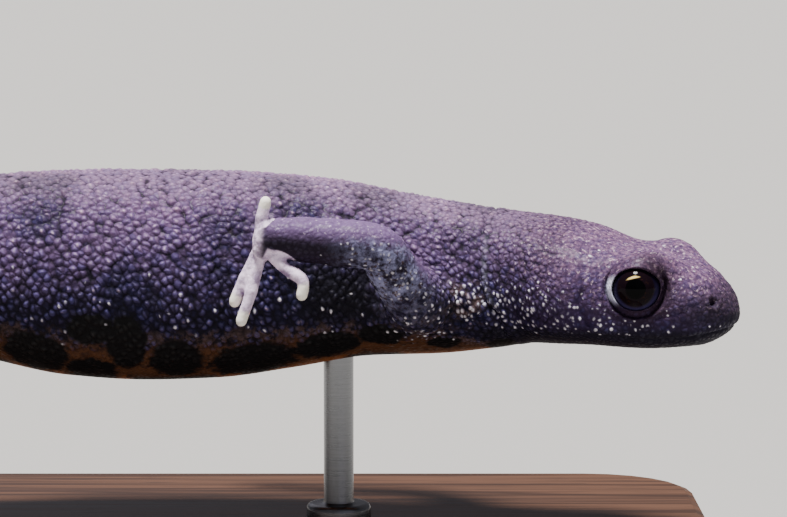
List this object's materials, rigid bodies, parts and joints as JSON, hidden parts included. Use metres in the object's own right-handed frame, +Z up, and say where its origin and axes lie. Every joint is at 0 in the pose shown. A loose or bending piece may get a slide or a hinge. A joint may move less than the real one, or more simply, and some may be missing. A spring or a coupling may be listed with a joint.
{
  "type": "italian crested newt",
  "caption": "Life-size still model of a female Italian crested newt in a gliding swim, head turned to its right, on a flat wooden base with two slim steel rods.",
  "frame": {"origin": "centre of the stand base's underside, on the floor", "axes": "+X towards the newt's head, +Y towards its left side, +Z up"},
  "size_m": [0.1454, 0.046, 0.0333],
  "materials": {
    "skin": "granular purple-brown skin with a wet sheen, white stippled flanks, orange belly with black blotches",
    "eye": "glossy dark eye with a thin golden ring round the pupil",
    "walnut": "oiled walnut with softened edges",
    "steel": "turned and brushed stainless steel"
  },
  "bodies": {
    "root": {"head": "skin", "lower_jaw": "skin", "eye_left": "eye", "eye_right": "eye", "neck": "skin", "chest": "skin", "trunk": "skin", "pelvis": "skin", "tail_base": "skin", "tail_middle": "skin", "tail_end": "skin", "tail_fin_upper": "skin", "tail_fin_lower": "skin", "upper_arm_left": "skin", "forearm_left": "skin", "hand_left": "skin", "upper_arm_right": "skin", "forearm_right": "skin", "hand_right": "skin", "thigh_left": "skin", "shin_left": "skin", "foot_left": "skin", "thigh_right": "skin", "shin_right": "skin", "foot_right": "skin", "stand_base": "walnut", "stand_rod_front": "steel", "stand_rod_rear": "steel"}
  },
  "joints": []
}
